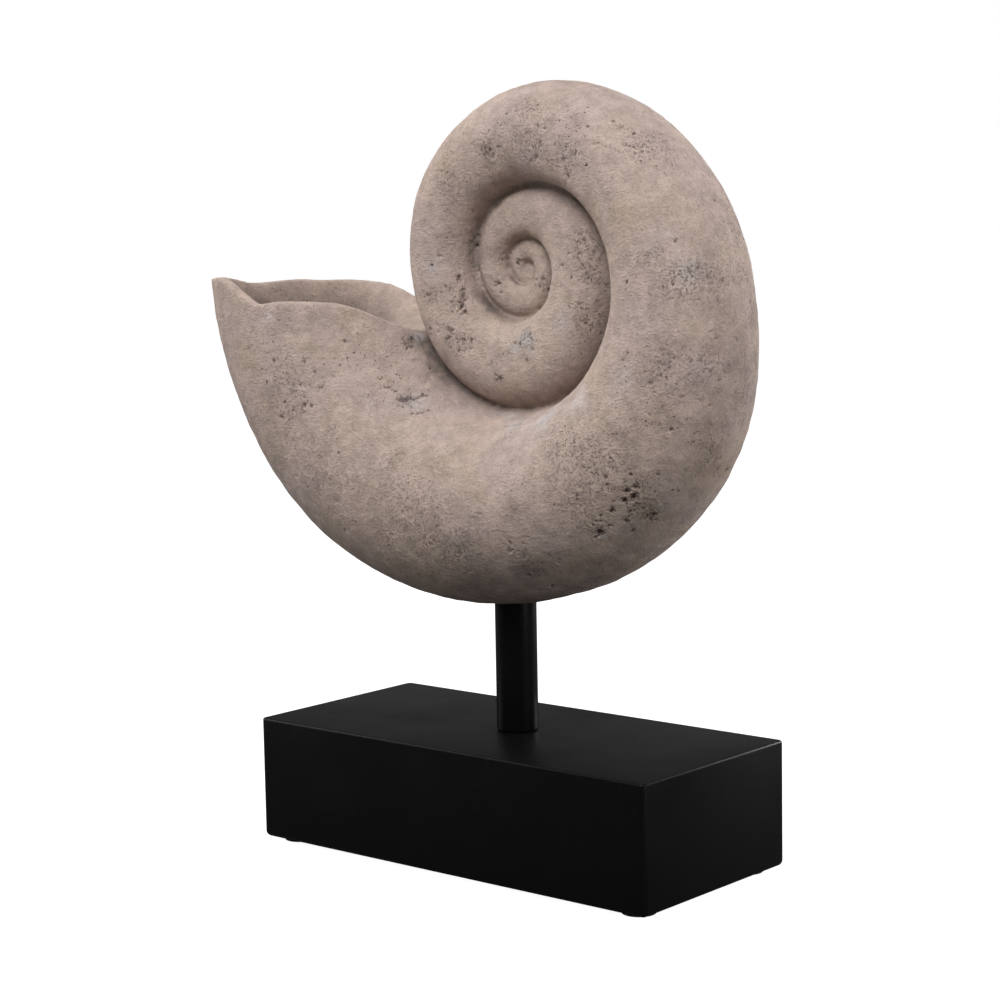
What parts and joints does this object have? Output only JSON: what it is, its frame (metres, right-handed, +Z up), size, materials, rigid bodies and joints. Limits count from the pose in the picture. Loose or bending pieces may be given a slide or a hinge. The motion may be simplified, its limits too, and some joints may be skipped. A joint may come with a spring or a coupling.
{
  "type": "cast stone spiral shell sculpture on a stand",
  "caption": "Whole cast-stone spiral shell with an upturned hollow mouth, held on a round black rod above a long rectangular black block.",
  "frame": {"origin": "middle of the whole outline, seen from above, on the plane the foot pads rest on", "axes": "+Z up, X along the block's long side with the shell's mouth towards -X, -Y the front"},
  "size_m": [0.3158, 0.112, 0.3684],
  "materials": {
    "cast_stone": "matt cast stone, warm grey-beige, fine sandy pits, whitish and tan stains",
    "rod_black": "satin black paint",
    "block_black": "satin black paint over a solid block",
    "zinc_steel": "zinc plated",
    "pad_rubber": "matt black rubber"
  },
  "bodies": {
    "root": {"shell": "cast_stone", "rod": "rod_black", "base_block": "block_black", "washer": "zinc_steel", "fixing_screw": "zinc_steel", "foot_pad_1": "pad_rubber", "foot_pad_2": "pad_rubber", "foot_pad_3": "pad_rubber", "foot_pad_4": "pad_rubber"}
  },
  "joints": []
}
